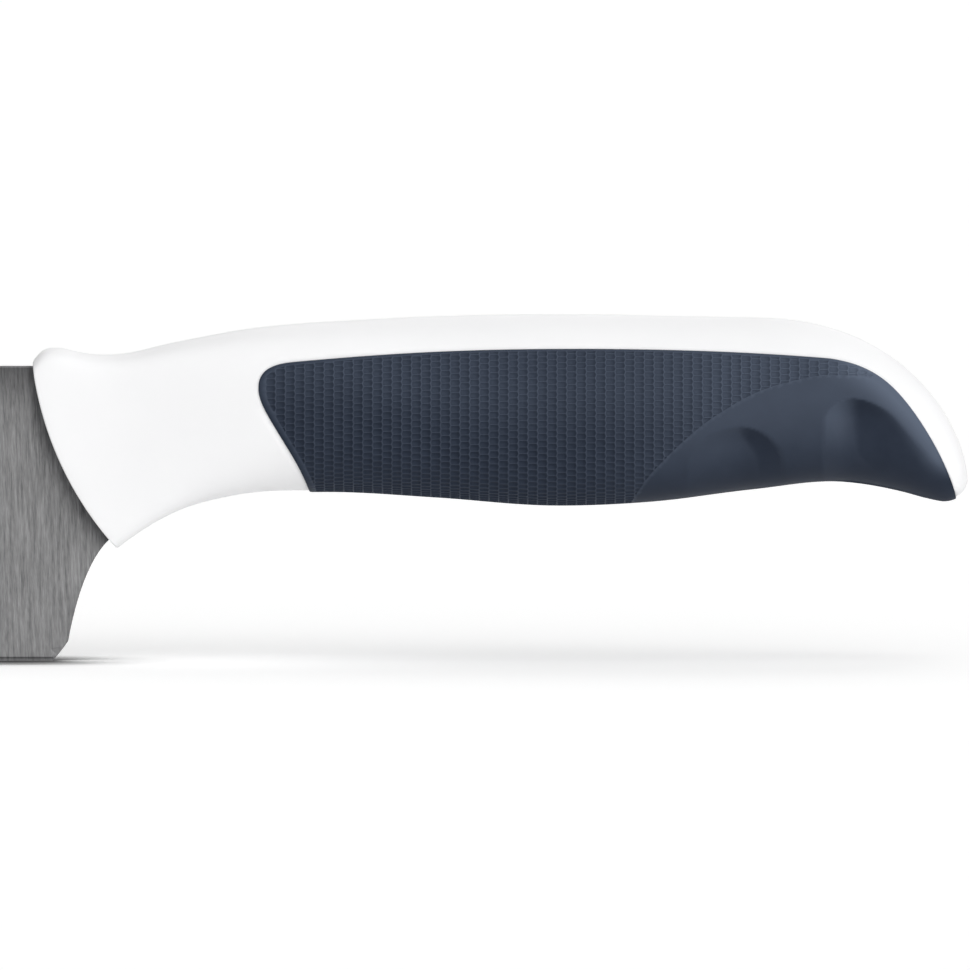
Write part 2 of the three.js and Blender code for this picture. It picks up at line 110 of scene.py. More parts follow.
# The grip's edge in the side view: a start, then two handles and an end a curve
GRIP_START = (0.2955, -0.478)
GRIP_EDGE = [
    [(0.291, -0.334), (0.269, -0.184), (0.2546, -0.064)],
    [(0.243, 0.03), (0.2385, 0.079), (0.2392, 0.135)],
    [(0.24, 0.218), (0.253, 0.252), (0.277, 0.263)],
    [(0.354, 0.297), (0.438, 0.329), (0.569, 0.329)],
    [(0.708, 0.329), (0.8, 0.301), (0.8508, 0.278)],
    [(0.8985, 0.244), (0.92, 0.139), (0.9415, -0.004)],
    [(0.9646, -0.162), (0.9815, -0.335), (0.9877, -0.462)],
]
# Finger scoops: top in shares, then in millimetres the run from the front rim to the deepest line, the run
# from there to the rear rim, the height over which both widen, the depth, and the width of the painted
# shade along the rear rim, then how much the rear rim leans back on its way down and how much painted light
# lightens the front wall
SCOOPS = [
    ((0.7558, -0.077), 7.5, 6.2, 5.5, 1.8, 3.2, 0, 0.05),
    ((0.876, 0.069), 4.2, 3.7, 3, 2.4, 9, 0.86, 1),
]
SCOOP_TOP = 3  # run from the top of a scoop to its full depth
SCOOP_BEND = 1.4  # power by which the rear wall rises from the deepest line
BELLY_EASE = 3.5  # half width below which the scoops die out towards the belly

# Tones of the smooth finger zone, mostly painted light and shade, in steps of the grip's colour ramp, and
# their places in millimetres
SMOOTH_TONE = 0.25
REAR_HIGHLIGHT_TONE = 3.4  # painted highlight: the lighter band along the rear edge, where the rim turns towards the light
REAR_HIGHLIGHT_WIDTH = 5
REAR_HIGHLIGHT_START = 108  # along the handle
REAR_HIGHLIGHT_RUN = 10
LOW_HIGHLIGHT_LEVEL = 25  # below this level there is no such band
LOW_HIGHLIGHT_RUN = 4
PAINTED_BELLY_SHADE = 1.5  # painted shade: how much darker the grip is along the downward-facing belly
BELLY_CLEAR = 6  # way round from the belly where that starts to fade
BELLY_SHADE = 14
SCOOP_SHADE = 1.5  # painted shade: how much darker a scoop's rear wall is
SHADE_EDGE = 0.75  # run over which that shade sets in at the rim
SHADE_FADE = 2.5  # run over which it ends
LIGHT_SHARE = 0.6  # of the front wall, over which its painted light sets in
LIGHT_EDGE = 0.6  # run over which that light sets in at the rim
LIGHT_RUN = 6  # way down over which it fades
LIGHT_START = 0.4  # share of that way after which the fading starts

# Honeycomb of the grip
COMB_START = 0.232  # in shares of the handle's length
COMB_END = 0.93
COMB_ROWS = 40
COMB_TOP = 0.25  # level above which the grip's edge is its upper edge
CELL_LENGTH = 1.35
CELL_HEIGHT = 0.91
CELL_POINT = 0.07  # how far the ends of a cell stand out, which makes it six-sided
CELL_SLOPE = 0.06
CELL_DEPTH = 0.13
SMALLEST_CELL = 0.08  # area
CORNER_GAP = 0.03  # corners of a cell closer than this become one
RIDGE = 0.12
ROW_THINNING = 1.7  # how much thinner the ridges along the rows are than those between columns
ROW_FOLLOW = 0.5  # how much of the slope of the grip's upper edge the rows take
RIM_MARGIN = 0.5  # plain strip along the grip's edge
FRONT_MARGIN = 0.6  # more of it where the edge runs down the cheek
BELLY_BAND = 0.25  # half the plain strip along the belly
# Painted light and shade of the honeycomb: a darker rim along the grip's edge, lighter ridges and darker
# cell floors
PAINTED_RIM_SHADE = -0.45
PAINTED_RIDGE_LIGHT = 0.55
PAINTED_CELL_FLOOR_SHADE = -0.6
CELL_SHADE = 0.7  # painted shade: the cells are darker below their upper rows
CELL_SHADE_LEVEL = 15
CELL_SHADE_RUN = 9
LIT_REAR_START = 75  # painted light: from here the honeycomb grows paler towards the rear
LIT_REAR_RUN = 28
LIT_REAR_TONE = 0.9
LIT_REAR_SHADE_LOSS = 0.6  # share of the cells' painted shade that is lost there

# Upper border of the smooth finger zone, in shares of the handle's length and height
SMOOTH_BORDER = [(0.634, -0.52), (0.645, -0.425), (0.656, -0.344), (0.672, -0.259), (0.6935, -0.157),
                 (0.717, -0.061), (0.738, 0.007), (0.762, 0.0745), (0.788, 0.127), (0.808, 0.1535),
                 (0.833, 0.18), (0.858, 0.1855), (0.885, 0.18), (0.95, 0.13)]

# Small roundings and lines
FRONT_ROUND = 0.2
FRONT_RINGS = [0.1, 0.3, 0.6, 1]  # shares of that rounding at which it is drawn
SPINE_CHAMFER = 0.2
CHAMFER_DEPTH = 0.6 * SPINE_CHAMFER
EDGE_HALF = 0.01  # half the thickness of the sharp edge
BRUSH_LEAN = math.radians(2)  # of the brushing from the upright
BEVEL_LINE = 0.13  # width of the painted dark line of shade along the top of the bevel
PLUNGE_SHADE = 3  # how far ahead of the handle the painted shade on the grind reaches
CREASE = math.radians(8)  # where the blade's surface turns by more, an edge shows
RIM_PROFILE = [(0.04, 0.02), (0.1, 0.14), (0.22, 0.22), (0.42, GRIP_PROUD)]  # inset, height
WALL_LEVELS = [-0.8, -GRIP_WALL]  # of the grip's hidden side wall
SEAT_PROFILE = [(0, 0), (0.08, -0.12), (0.3, -0.9), (0.8, -GRIP_WALL - MOULD_GAP)]  # inset, height

# Fineness of the meshes: counts of points, and spacings and clear strips in millimetres
NUDGE = 1e-9  # smallest length that counts, which tells the near side from the far one where both meet
ON_LINE = 1e-6  # a smaller gap is none
SAME_PLACE = 1e-3  # points closer than this become one
BATCH = 2000  # points whose distance to a line is measured at once
SEAM_POINTS = 60
SEAM_START = 0.02
SEAM_SPACING = 0.4
SEAM_CLEAR = 0.45
BORDER_POINTS = 300
COMB_POINTS = 400
CELL_CLEAR = 0.45
SMOOTH_SPACING = 0.35
UNDER_SPACING = 2.5
UNDER_CLEAR = 1
FRONT_POINTS = 3000
FRONT_SPACING = 0.4
FRONT_CLEAR = 0.2
BELLY_POINTS = 165
MIDDLE_CLEAR = 0.05
BODY_SPACING = 0.9
BODY_CLEAR = 0.6
FACE_SPACING = 1.2
FACE_CLEAR = 0.5
TIP_POINTS = 90
TIP_CROWDING = 1.5
TIP_LENGTH = SPINE_CURVE_LENGTH + 10
TIP_SKIP = 2  # points next to the tip that a line leaves out
STRAIGHT_POINTS = 80
HEEL_STEPS = 1000
HEEL_SPACING = 0.5
HEEL_SKIPS = (4, 2)  # points left out at the ends of the line inside the heel
CURVE_POINTS = 60
BEND_POINTS = 20
REAR_POINTS = 6
FLANK_SPACING = 2.0
FLANK_AHEAD = 5
PLUNGE_POINTS = 80
PLUNGE_EXTENSION = 40  # steps by which the front's line is drawn out
PLUNGE_SPACING = 0.45
PLUNGE_START = -6
PLUNGE_AHEAD = 4.5
PLUNGE_BEHIND = 2
EDGE_CLEAR = 1.1
SPINE_CLEAR = 0.5
OUTLINE_CLEAR = 0.4

AXIS_LEVEL = BLADE_HEIGHT + SPINE_COVER - DIP[1] * HANDLE_HEIGHT
BEAK = AXIS_LEVEL + BEAK_LEVEL * HANDLE_HEIGHT
BUTT_START = HANDLE_LENGTH - BUTT_LENGTH
FLANK_TAPER = (SPINE_THICKNESS - BEVEL_THICKNESS) / (BLADE_HEIGHT - BEVEL_HEIGHT)
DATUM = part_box("handle_body")[1].x / MM - HANDLE_LENGTH

# Picture
FRAME_PIXELS = 970
PIXEL = 0.13956 * MM  # size of a pixel at the knife's middle plane
PICTURE_CENTRE = Vector(((DATUM + 62.66) * MM, 0, 24.56 * MM))
LENS = 900
SENSOR = 36
VIEW_LENGTH = 50
ELEVATION = math.radians(2.5)


# Curves and flat outlines

def ease(share):
    """A smooth step from 0 to 1."""
    share = np.clip(share, 0, 1)
    return share * share * (3 - 2 * share)


def through(points):
    """A smooth function through points of (place, value)."""
    places, values = np.array(points, float).T
    steps = np.diff(places)
    slopes = np.diff(values) / steps
    inner = (slopes[:-1] * steps[1:] + slopes[1:] * steps[:-1]) / (steps[1:] + steps[:-1])
    tangents = np.concatenate([slopes[:1], inner, slopes[-1:]])

    def value_at(place):
        i = np.clip(np.searchsorted(places, place, side="right") - 1, 0, len(steps) - 1)
        t = (place - places[i]) / steps[i]
        rise = t * t * (3 - 2 * t) * (values[i + 1] - values[i])
        bow = t * (1 - t) * ((1 - t) * tangents[i] - t * tangents[i + 1])
        return values[i] + rise + bow * steps[i]

    return value_at


def at(along, level):
    """A place in the side view, (x, z), from shares of the handle's length and height."""
    return np.array([along * HANDLE_LENGTH, AXIS_LEVEL + level * HANDLE_HEIGHT])


def bezier(points, count):
    """Points along a Bezier curve with any number of handles."""
    t = np.linspace(0, 1, count)[:, None, None]
    rows = np.broadcast_to(np.array(points, float), (count, len(points), 2))
    while rows.shape[1] > 1:
        rows = rows[:, :-1] * (1 - t) + rows[:, 1:] * t
    return rows[:, 0]


def respaced(line, spacing):
    """An open line with its points moved to an even spacing."""
    run = np.concatenate([[0], np.cumsum(np.hypot(*np.diff(line, axis=0).T))])
    places = np.linspace(0, run[-1], max(2, round(run[-1] / spacing) + 1))
    return np.stack([np.interp(places, run, line[:, 0]), np.interp(places, run, line[:, 1])], axis=1)


def inset(loop, distance):
    """A closed clockwise loop moved inwards."""
    tangent = np.roll(loop, -1, axis=0) - np.roll(loop, 1, axis=0)
    tangent /= np.hypot(*tangent.T)[:, None]
    return loop + distance * np.stack([tangent[:, 1], -tangent[:, 0]], axis=1)


def inside(starts, ends, points):
    """Whether each point lies inside the area bounded by the edges."""
    found = np.zeros(len(points), bool)
    for (x0, y0), (x1, y1) in zip(starts, ends):
        if y0 == y1:
            continue
        crossing = (y0 > points[:, 1]) != (y1 > points[:, 1])
        found ^= crossing & (points[:, 0] < x0 + (points[:, 1] - y0) * (x1 - x0) / (y1 - y0))
    return found


def in_loop(loop, points):
    """Whether each point lies inside a closed loop."""
    return inside(loop, np.roll(loop, -1, axis=0), points)


def distance_to(line, points):
    """Distance from each point to an open line, and the nearest place on it."""
    start = line[:-1]
    span = np.diff(line, axis=0)
    best = np.full(len(points), np.inf)
    place = np.zeros((len(points), 2))
    for first in range(0, len(points), BATCH):
        some = points[first:first + BATCH, None]
        share = np.clip(((some - start) * span).sum(2) / (span ** 2).sum(1), 0, 1)
        foot = start + share[..., None] * span
        gap = np.hypot(*np.moveaxis(some - foot, 2, 0))
        nearest = gap.argmin(1)
        rows = np.arange(len(nearest))
        best[first:first + BATCH] = gap[rows, nearest]
        place[first:first + BATCH] = foot[rows, nearest]
    return best, place


def field(low, high, spacing):
    """Staggered rows of points over a rectangle."""
    rows = np.arange(low[1], high[1], spacing * math.sqrt(3) / 2)
    columns = np.arange(low[0], high[0], spacing)
    return np.array([(x + spacing / 2 * (i % 2), y) for i, y in enumerate(rows) for x in columns])


def field_inside(loop, spacing, clear):
    """Staggered points inside a closed loop, away from it by more than the clear strip."""
    points = field(loop.min(0), loop.max(0), spacing)
    points = points[in_loop(loop, points)]
    return points[distance_to(np.concatenate([loop, loop[:1]]), points)[0] > clear]


FILL_INSIDE = 1  # the triangulation's mode that drops what lies outside the outermost loop
FILL_TOLERANCE = 1e-5


class Sheet:
    """Points and lines in a flat chart, with heights and tones, to be filled with triangles."""

    def __init__(self):
        self.points = []
        self.heights = []
        self.tones = []
        self.edges = []

    def add_line(self, line, heights, tone=0.0, closed=False):
        first = len(self.points)
        count = len(line)
        self.points += list(map(tuple, line))
        self.heights += list(np.broadcast_to(heights, count))
        self.tones += [tone] * count
        self.edges += [(first + i, first + i + 1) for i in range(count - 1)]
        if closed:
            self.edges.append((first + count - 1, first))

    def add_points(self, points, heights):
        self.points += list(map(tuple, points))
        self.heights += list(np.broadcast_to(heights, len(points)))
        self.tones += [0.0] * len(points)

    def filled(self):
        """The points, heights and tones of the chart, and the triangles inside its outermost loop."""
        places = [Vector(place) for place in self.points]
        made, _, faces, sources, _, _ = delaunay_2d_cdt(places, self.edges, [], FILL_INSIDE, FILL_TOLERANCE)
        points = np.array([tuple(p) for p in made])
        heights = np.array([self.heights[s[0]] if s else 0.0 for s in sources])
        tones = np.array([self.tones[s[0]] if s else 0.0 for s in sources])
        return points, heights, tones, np.array([tuple(f) for f in faces])


# Handle surface

back_line = through(BACK)
belly_line = through(BELLY)
width_line = through(WIDTH)
widest_line = through(WIDEST)
upper_exponent = through(UPPER_EXPONENTS)
lower_exponent = through(LOWER_EXPONENTS)

FIRST_U = -5.0
LAST_U = BUTT_START + BUTT_LENGTH * math.pi / 2
STATIONS = 460
ROUND_STEPS = 161
WITHIN = 1.0001  # keeps the last row and column inside the table
POLE_RUN = 9.2  # of the rings of points round the rearmost point
POLE_RINGS = 18
POLE_STEPS = 49
POLE_SPREAD = 1.3
POLE_U = LAST_U - POLE_RUN * np.linspace(1, 0, POLE_RINGS + 1)[:-1] ** POLE_SPREAD
POLE_ROUND = np.linspace(1, -1, POLE_STEPS)


def x_of(u):
    """Place along the knife from the run along the skin, which bends round the butt."""
    bend = np.clip((u - BUTT_START) / BUTT_LENGTH, 0, math.pi / 2)
    return np.where(u < BUTT_START, u, BUTT_START + BUTT_LENGTH * np.sin(bend))


def u_of(x):
    """Run along the skin from the place along the knife."""
    bend = np.arcsin(np.clip((x - BUTT_START) / BUTT_LENGTH, 0, 1))
    return np.where(x < BUTT_START, x, BUTT_START + BUTT_LENGTH * bend)


def section_points(x):
    """Half the section at each x, from the belly up to the back, as half widths and levels."""
    along = x / HANDLE_LENGTH
    butt = np.clip((x - BUTT_START) / BUTT_LENGTH, 0, 1)
    beak = np.clip((x - HANDLE_LENGTH + BEAK_RADIUS) / BEAK_RADIUS, 0, 1)
    back = at(along, back_line(along))[1] - BEAK
    belly = BEAK - at(along, belly_line(along))[1]
    top = BEAK + back * (1 - butt ** BUTT_TURN) ** BUTT_FALL
    bottom = BEAK - belly * np.sqrt(1 - beak ** 2)
    widest = bottom + widest_line(along) * (top - bottom)
    half = width_line(along) * HANDLE_WIDTH / 2 * (1 - butt ** PLAN_TURN) ** PLAN_FALL
    angle = np.linspace(-math.pi / 2, math.pi / 2, 2 * ROUND_STEPS)[None]
    up = np.sin(angle)
    exponent = np.where(up > 0, upper_exponent(along)[:, None], lower_exponent(along)[:, None])
    height = np.where(up > 0, (top - widest)[:, None], (widest - bottom)[:, None])
    levels = widest[:, None] + np.sign(up) * np.abs(up) ** (2 / exponent) * height
    widths = half[:, None] * np.abs(np.cos(angle)) ** (2 / exponent)
    return widths, levels


def skin_table():
    """Sections resampled evenly round the skin: girths, half widths, levels and outward normals."""
    x = x_of(np.linspace(FIRST_U, LAST_U, STATIONS))
    widths, levels = section_points(x)
    steps = np.hypot(np.diff(widths, axis=1), np.diff(levels, axis=1))
    run = np.concatenate([np.zeros((STATIONS, 1)), np.cumsum(steps, axis=1)], axis=1)
    girth = np.maximum(run[:, -1], ON_LINE)
    shares = np.linspace(0, 1, ROUND_STEPS)
    even_widths = np.stack([np.interp(shares * g, r, w) for g, r, w in zip(girth, run, widths)])
    even_levels = np.stack([np.interp(shares * g, r, z) for g, r, z in zip(girth, run, levels)])
    place = np.stack([np.broadcast_to(x[:, None], even_widths.shape), even_widths, even_levels], axis=2)
    normal = np.cross(np.gradient(place, axis=1), np.gradient(place, axis=0))
    normal[:, [0, -1], 1] = 0
    length = np.linalg.norm(normal, axis=2, keepdims=True)
    normal = np.where(length > NUDGE, normal / np.maximum(length, NUDGE), [1.0, 0, 0])
    return girth, place, normal


GIRTH, PLACE, NORMAL = skin_table()


def station(u):
    """Index and remainder of the table's row for each u."""
    row = np.clip((u - FIRST_U) / (LAST_U - FIRST_U) * (STATIONS - 1), 0, STATIONS - WITHIN)
    return row.astype(int), row % 1


def girth_at(u):
    """Half the way round the handle at each u, from belly to back."""
    i, f = station(u)
    return GIRTH[i] * (1 - f) + GIRTH[i + 1] * f


def round_of(u, z):
    """Distance round the skin from the belly to each level z."""
    i, f = station(u)
    shares = np.linspace(0, 1, ROUND_STEPS)
    rows = PLACE[i, :, 2] * (1 - f)[:, None] + PLACE[i + 1, :, 2] * f[:, None]
    return np.array([np.interp(level, row, shares) for level, row in zip(z, rows)]) * girth_at(u)


def looked_up(table, u, s):
    """Values of a table between its rows and columns."""
    i, f = station(u)
    column = np.clip(np.abs(s) / girth_at(u) * (ROUND_STEPS - 1), 0, ROUND_STEPS - WITHIN)
    j = column.astype(int)
    g = (column % 1)[:, None]
    f = f[:, None]
    low = table[i, j] * (1 - g) + table[i, j + 1] * g
    high = table[i + 1, j] * (1 - g) + table[i + 1, j + 1] * g
    return low * (1 - f) + high * f


def on_skin(u, s, heights):
    """Points above the skin at u along it and s round it from the belly, positive on the near side."""
    place = looked_up(PLACE, u, s)
    normal = looked_up(NORMAL, u, s)
    place = place + normal * np.asarray(heights)[:, None] / np.linalg.norm(normal, axis=1)[:, None]
    place[:, 1] *= -np.sign(s)
    return place


def near_side(s):
    """Places round the skin, of which those on the middle line count to the near side."""
    return np.where(s == 0, NUDGE, s)


def scoop_shape(x, z):
    """Depth of the finger scoops in the side view, painted shade of their rear and painted light of their
    front walls.
    """
    depth, shade, light = np.zeros((3, len(x)))
    for top, ahead, behind, height, deepest, band, flare, painted_front_light in SCOOPS:
        down = np.maximum(at(*top)[1] - z, 0)
        across = x - at(*top)[0]
        spread = np.sqrt(1 - (1 - np.minimum(down / height, 1)) ** 2)
        run = np.maximum(np.where(across < 0, ahead * spread, behind * spread + flare * down), ON_LINE)
        share = np.maximum(1 - np.abs(across) / run, 0)
        wall = np.where(across < 0, np.sin(share * math.pi / 2), 1 - (1 - share) ** SCOOP_BEND)
        floor = deepest * (1 - (1 - np.minimum(down / SCOOP_TOP, 1)) ** 2)
        depth = np.maximum(depth, floor * wall)
        gap = run * share
        rear = ease((across + SHADE_FADE / 2) / SHADE_FADE) * (1 - ease((gap - band) / SHADE_FADE))
        shade = np.maximum(shade, rear * ease(gap / SHADE_EDGE))
        front = ease(-across / (LIGHT_SHARE * ahead)) * (1 - ease(down / LIGHT_RUN - LIGHT_START))
        light = np.maximum(light, painted_front_light * front * ease(gap / LIGHT_EDGE))
    return depth, shade, light


def scooped(places, flat):
    """Places of the grip pushed towards the knife's middle plane by the finger scoops."""
    depth = scoop_shape(flat[:, 0], flat[:, 2])[0] * ease(np.abs(flat[:, 1]) / BELLY_EASE)
    return places - np.stack([0 * depth, depth * np.sign(flat[:, 1]), 0 * depth], axis=1)


def front_edge(count):
    """The leaning front of the handle, from its top to its lower corner."""
    top = at(-FRONT_LEAD / HANDLE_LENGTH, back_line(-FRONT_LEAD / HANDLE_LENGTH))
    bottom = at(FRONT_RAKE / HANDLE_LENGTH, belly_line(FRONT_RAKE / HANDLE_LENGTH))
    chord = bottom - top
    bow = np.array([chord[1], -chord[0]]) / np.hypot(*chord)
    return bezier([top, (top + bottom) / 2 + 2 * FRONT_BULGE * bow, bottom], count)


def seam():
    """The grip's edge on the near side of the skin's chart, from the belly's front to its rear."""
    start = at(*GRIP_START)
    pieces = []
    for row in GRIP_EDGE:
        places = [start] + [at(*share) for share in row]
        pieces.append(bezier(places, SEAM_POINTS)[:-1])
        start = places[-1]
    line = np.concatenate(pieces + [start[None]])
    u = u_of(line[:, 0])
    s = round_of(u, line[:, 1])
    shown = np.flatnonzero(s > SEAM_START)
    chart = np.stack([u, s], axis=1)[shown[0]:shown[-1] + 1]
    first = chart[0] * [1, 0]
    last = chart[-1] * [1, 0]
    return np.concatenate([first[None], chart, last[None]])


NEAR_SEAM = respaced(seam(), SEAM_SPACING)
GRIP_LOOP = np.concatenate([NEAR_SEAM, NEAR_SEAM[-2:0:-1] * [1, -1]])
CLOSED_SEAM = np.concatenate([GRIP_LOOP, GRIP_LOOP[:1]])


# Meshes

def band(count):
    """Faces between two closed rings of count points, the second ring's points after the first's."""
    following = [(i + 1) % count for i in range(count)]
    return [(i, j, count + j, count + i) for i, j in enumerate(following)]


def joined(surfaces):
    """Points and faces of several surfaces as one, each given as its own points and faces."""
    faces = []
    first = 0
    for points, own_faces in surfaces:
        faces += [tuple(i + first for i in face) for face in own_faces]
        first += len(points)
    return np.concatenate([points for points, _ in surfaces]), faces


def mesh_piece(name, points, tones, faces, node, sharp=math.pi):
    """A smooth closed piece from points in millimetres, with a tone on each, in the place of a solid."""
    bm = bmesh.new()
    layer = bm.verts.layers.float.new("tone")
    corners = []
    for place, tone in zip((points + [DATUM, 0, 0]) * MM, tones):
        corners.append(bm.verts.new(place))
        corners[-1][layer] = tone
    for face in faces:
        bm.faces.new([corners[i] for i in face])
    bmesh.ops.remove_doubles(bm, verts=bm.verts, dist=SAME_PLACE * MM)
    bmesh.ops.dissolve_degenerate(bm, edges=bm.edges, dist=SAME_PLACE * MM)
    bmesh.ops.recalc_face_normals(bm, faces=bm.faces)
    mesh = bpy.data.meshes.new(name)
    bm.to_mesh(mesh)
    bm.free()
    mesh.shade_smooth()
    mesh.set_sharp_from_angle(angle=sharp)
    piece = bpy.data.objects.new(name, mesh)
    bpy.context.scene.collection.objects.link(piece)
    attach(piece, "root")
    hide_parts(node)
    return piece


# Soft grip

smooth_border = through(SMOOTH_BORDER)


def above_border(chart):
    """Whether each place of the near cheek's chart lies ahead of the smooth finger zone or above it."""
    place = on_skin(chart[:, 0], chart[:, 1] + NUDGE, np.zeros(len(chart)))
    along = place[:, 0] / HANDLE_LENGTH
    border = at(along, smooth_border(along))[1]
    return (along < SMOOTH_BORDER[0][0]) | (place[:, 2] > border)


def border_line():
    """The border of the smooth finger zone in the chart of the near cheek."""
    along = np.linspace(SMOOTH_BORDER[0][0], SMOOTH_BORDER[-1][0], BORDER_POINTS)
    x, z = at(along, smooth_border(along))
    u = u_of(x)
    return np.stack([u, round_of(u, z)], axis=1)


def clipped(polygon, foot, normal):
    """A convex polygon cut by the line through foot, keeping the side that normal points to."""
    if len(polygon) < 3:
        return polygon
    side = (polygon - foot) @ normal
    kept = []
    for i, point in enumerate(polygon):
        j = (i + 1) % len(polygon)
        if side[i] >= 0:
            kept.append(point)
        if (side[i] >= 0) != (side[j] >= 0):
            kept.append(point + (polygon[j] - point) * side[i] / (side[i] - side[j]))
    return np.array(kept).reshape(-1, 2)


def shrunk(polygon, distance):
    """A convex polygon with each side moved inwards, or None where too little is left of it."""
    left = polygon
    for point, way in zip(polygon, np.roll(polygon, -1, axis=0) - polygon):
        run = np.hypot(*way)
        if run > CORNER_GAP:
            inwards = np.array([-way[1], way[0]]) / run
            left = clipped(left, point + distance * inwards, inwards)
    left = left[np.hypot(*(np.roll(left, -1, axis=0) - left).T) > CORNER_GAP]
    following = np.roll(left, -1, axis=0)
    area = (left[:, 0] * following[:, 1] - left[:, 1] * following[:, 0]).sum() / 2
    return left if area > SMALLEST_CELL else None


def whole_cells():
    """Cells of the near cheek in the skin's chart, in staggered columns, not yet cut by its edges."""
    columns = np.arange(COMB_START * HANDLE_LENGTH, COMB_END * HANDLE_LENGTH, CELL_LENGTH)
    places = np.linspace(columns[0] - CELL_LENGTH, columns[-1] + CELL_LENGTH, COMB_POINTS)
    edge = on_skin(NEAR_SEAM[:, 0], NEAR_SEAM[:, 1] + NUDGE, np.zeros(len(NEAR_SEAM)))
    high = np.flatnonzero(edge[:, 2] > at(0, COMB_TOP)[1])
    top_edge = edge[high[0]:high[-1]]
    top_level = np.interp(places, top_edge[:, 0], top_edge[:, 2])
    middle_level = top_level.max()
    row_level = middle_level + ROW_FOLLOW * (top_level - middle_level)
    row_start = round_of(u_of(places), row_level)
    half = np.array([CELL_LENGTH / 2, CELL_HEIGHT / 2])
    corners = np.array([(-1, -1), (1, -1), (1, 0), (1, 1), (-1, 1), (-1, 0)]) * half
    corners[:, 0] += CELL_POINT * np.array([1, -1, 1, -1, 1, -1])
    cells = []
    for i, x in enumerate(columns):
        for j in range(COMB_ROWS):
            down = (j + 0.5 * (i % 2)) * CELL_HEIGHT
            cell_x = x + corners[:, 0]
            s = np.interp(cell_x, places, row_start) - down + corners[:, 1]
            cells.append(np.stack([u_of(cell_x), s], axis=1))
    return np.array(cells)


def honeycomb():
    """Cells of the near cheek: rim and floor of each, in the skin's chart."""
    cells = whole_cells()
    middles = cells.mean(1)
    seam_gap, seam_foot = distance_to(CLOSED_SEAM, middles)
    border_gap, border_foot = distance_to(border_line(), middles)
    seam_side = np.where(in_loop(GRIP_LOOP, middles), 1, -1)
    border_side = np.where(above_border(middles), 1, -1)
    seam_way = (middles - seam_foot) * (seam_side / np.maximum(seam_gap, ON_LINE))[:, None]
    border_way = (middles - border_foot) * (border_side / np.maximum(border_gap, ON_LINE))[:, None]
    reach = math.hypot(CELL_LENGTH, CELL_HEIGHT) / 2
    kept = (seam_side * seam_gap > -reach) & (border_side * border_gap > -reach) & (middles[:, 1] > -reach)
    found = []
    for i in np.flatnonzero(kept):
        margin = RIM_MARGIN + FRONT_MARGIN * seam_way[i, 0] ** 2 - RIDGE / 2
        cell = clipped(cells[i], seam_foot[i] + seam_way[i] * margin, seam_way[i])
        cell = clipped(cell, border_foot[i], border_way[i])
        cell = clipped(cell, np.array([0, BELLY_BAND - RIDGE / 2]), np.array([0.0, 1.0]))
        rim = shrunk(cell * [1, ROW_THINNING], RIDGE / 2)
        floor = None if rim is None else shrunk(rim, CELL_SLOPE)
        if floor is not None:
            found.append((rim / [1, ROW_THINNING], floor / [1, ROW_THINNING]))
    return found


def grip_chart():
    """The grip's face in the skin's chart: rim, honeycomb and smooth finger zone."""
    sheet = Sheet()
    for distance, height in RIM_PROFILE:
        sheet.add_line(inset(GRIP_LOOP, distance), height, PAINTED_RIM_SHADE, closed=True)
    cells = honeycomb()
    for rim, floor in cells:
        for side in (1, -1):
            sheet.add_line(rim * [1, side], GRIP_PROUD, PAINTED_RIDGE_LIGHT, closed=True)
            sheet.add_line(floor * [1, side], GRIP_PROUD - CELL_DEPTH, PAINTED_CELL_FLOOR_SHADE, closed=True)
    smooth = field_inside(GRIP_LOOP, SMOOTH_SPACING, RIM_MARGIN)
    smooth = smooth[~above_border(np.abs(smooth))]
    rims = np.concatenate([rim for rim, _ in cells])
    gap = np.array([np.hypot(*(rims - [u, abs(s)]).T).min() for u, s in smooth])
    sheet.add_points(smooth[gap > CELL_CLEAR], GRIP_PROUD)
    return sheet.filled()


def grip_shade(chart, flat):
    """Painted shade and light of each place of the grip: how much darker it is than its height alone makes
    it.
    """
    way_round = np.abs(chart[:, 1])
    _, rear_shade, front_light = scoop_shape(flat[:, 0], flat[:, 2])
    belly_shade = PAINTED_BELLY_SHADE * (1 - ease((way_round - BELLY_CLEAR) / BELLY_SHADE))
    smooth_shade = np.maximum(belly_shade, SCOOP_SHADE * rear_shade) - front_light - SMOOTH_TONE
    lit_rear = ease((flat[:, 0] - LIT_REAR_START) / LIT_REAR_RUN)
    cell_shade = CELL_SHADE * (1 - ease((way_round - CELL_SHADE_LEVEL) / CELL_SHADE_RUN))
    cell_shade = cell_shade * (1 - LIT_REAR_SHADE_LOSS * lit_rear) - LIT_REAR_TONE * lit_rear
    # Painted highlight along the grip's rear edge, which fades out below a level
    rear = ease((flat[:, 0] - REAR_HIGHLIGHT_START) / REAR_HIGHLIGHT_RUN)
    rear *= ease((flat[:, 2] - LOW_HIGHLIGHT_LEVEL) / LOW_HIGHLIGHT_RUN)
    rear_highlight = rear * (1 - ease(distance_to(CLOSED_SEAM, chart)[0] / REAR_HIGHLIGHT_WIDTH))
    return np.where(above_border(np.abs(chart)), cell_shade, smooth_shade) - REAR_HIGHLIGHT_TONE * rear_highlight


def grip_wall(edge):
    """The side wall under the grip's edge: the edge itself and rings below it."""
    side = near_side(edge[:, 1])
    count = len(edge)
    top = on_skin(edge[:, 0], side, np.full(count, RIM_PROFILE[0][1]))
    rings = [scooped(top, on_skin(edge[:, 0], side, np.zeros(count)))]
    faces = []
    for number, level in enumerate(WALL_LEVELS):
        rings.append(on_skin(edge[:, 0], side, np.full(count, level)))
        faces += [tuple(i + number * count for i in face) for face in band(count)]
    return np.concatenate(rings), faces


